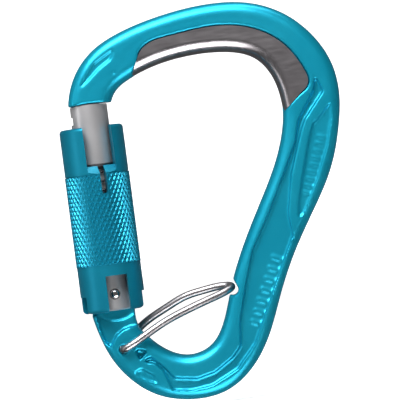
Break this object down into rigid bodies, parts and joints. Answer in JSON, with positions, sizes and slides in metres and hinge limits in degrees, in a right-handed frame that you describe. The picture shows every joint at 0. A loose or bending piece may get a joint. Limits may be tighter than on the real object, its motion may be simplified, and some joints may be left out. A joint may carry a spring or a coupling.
{
  "type": "locking carabiner",
  "caption": "Pear-shaped auto-locking carabiner with a knurled twist sleeve, a steel wear insert in the top basket and a sprung wire retainer across the bottom basket.",
  "frame": {"origin": "rope seat at the top of the top basket, on the insert's inner face, midway through the thickness", "axes": "+Z along the closed gate towards the top basket, +X from the gate towards the spine, +Y through the thickness towards the back"},
  "size_m": [0.0791, 0.0178, 0.1091],
  "materials": {
    "anodised_body": "satin turquoise anodised forging",
    "anodised_sleeve": "turquoise anodised, turned and knurled",
    "satin_gate": "satin silver anodised",
    "polished_insert": "polished stainless",
    "rivet_steel": "polished steel",
    "spring_steel": "dark drawn spring wire",
    "retainer_wire": "bright drawn stainless wire"
  },
  "bodies": {
    "frame": {"frame_body": "anodised_body", "basket_insert": "polished_insert"},
    "gate": {"gate_body": "satin_gate", "gate_hinge_rivet": "rivet_steel", "gate_return_spring": "spring_steel", "spring_retaining_ring": "spring_steel", "sleeve_spring": "spring_steel", "sleeve_guide_pin": "rivet_steel"},
    "plunger": {"gate_plunger": "rivet_steel"},
    "washer": {"sleeve_thrust_washer": "rivet_steel"},
    "sleeve": {"locking_sleeve": "anodised_sleeve"},
    "wire": {"wire_retainer": "retainer_wire"}
  },
  "joints": [
    {"name": "gate_swing", "type": "hinge", "parent": "frame", "child": "gate", "pos_m": [-0.0342, 0, -0.0634], "axis": [0, 1, 0], "range_deg": [0, 24], "stiffness_Nm_per_rad": 0.4, "springref_deg": -22.92},
    {"name": "plunger_slide", "type": "slide", "parent": "gate", "child": "plunger", "axis": [0, 0, 1], "range_m": [0, 0.00085], "deforming": ["gate_return_spring"]},
    {"name": "sleeve_lift", "type": "slide", "parent": "gate", "child": "washer", "axis": [0, 0, 1], "range_m": [0, 0.004], "stiffness_N_per_m": 300, "springref_m": -0.01, "deforming": ["sleeve_spring"]},
    {"name": "sleeve_twist", "type": "hinge", "parent": "washer", "child": "sleeve", "pos_m": [-0.035, 0, -0.0634], "axis": [0, 0, 1], "range_deg": [0, 77], "stiffness_Nm_per_rad": 0.05, "springref_deg": -28.65},
    {"name": "wire_swing", "type": "hinge", "parent": "frame", "child": "wire", "pos_m": [-0.0338, 0, -0.0791], "axis": [0, -1, 0], "range_deg": [0, 20], "stiffness_Nm_per_rad": 0.1, "springref_deg": -17.19}
  ],
  "couplings": [
    {"joint": "plunger_slide", "follows": "gate_swing", "m_per_rad": 0.002}
  ]
}
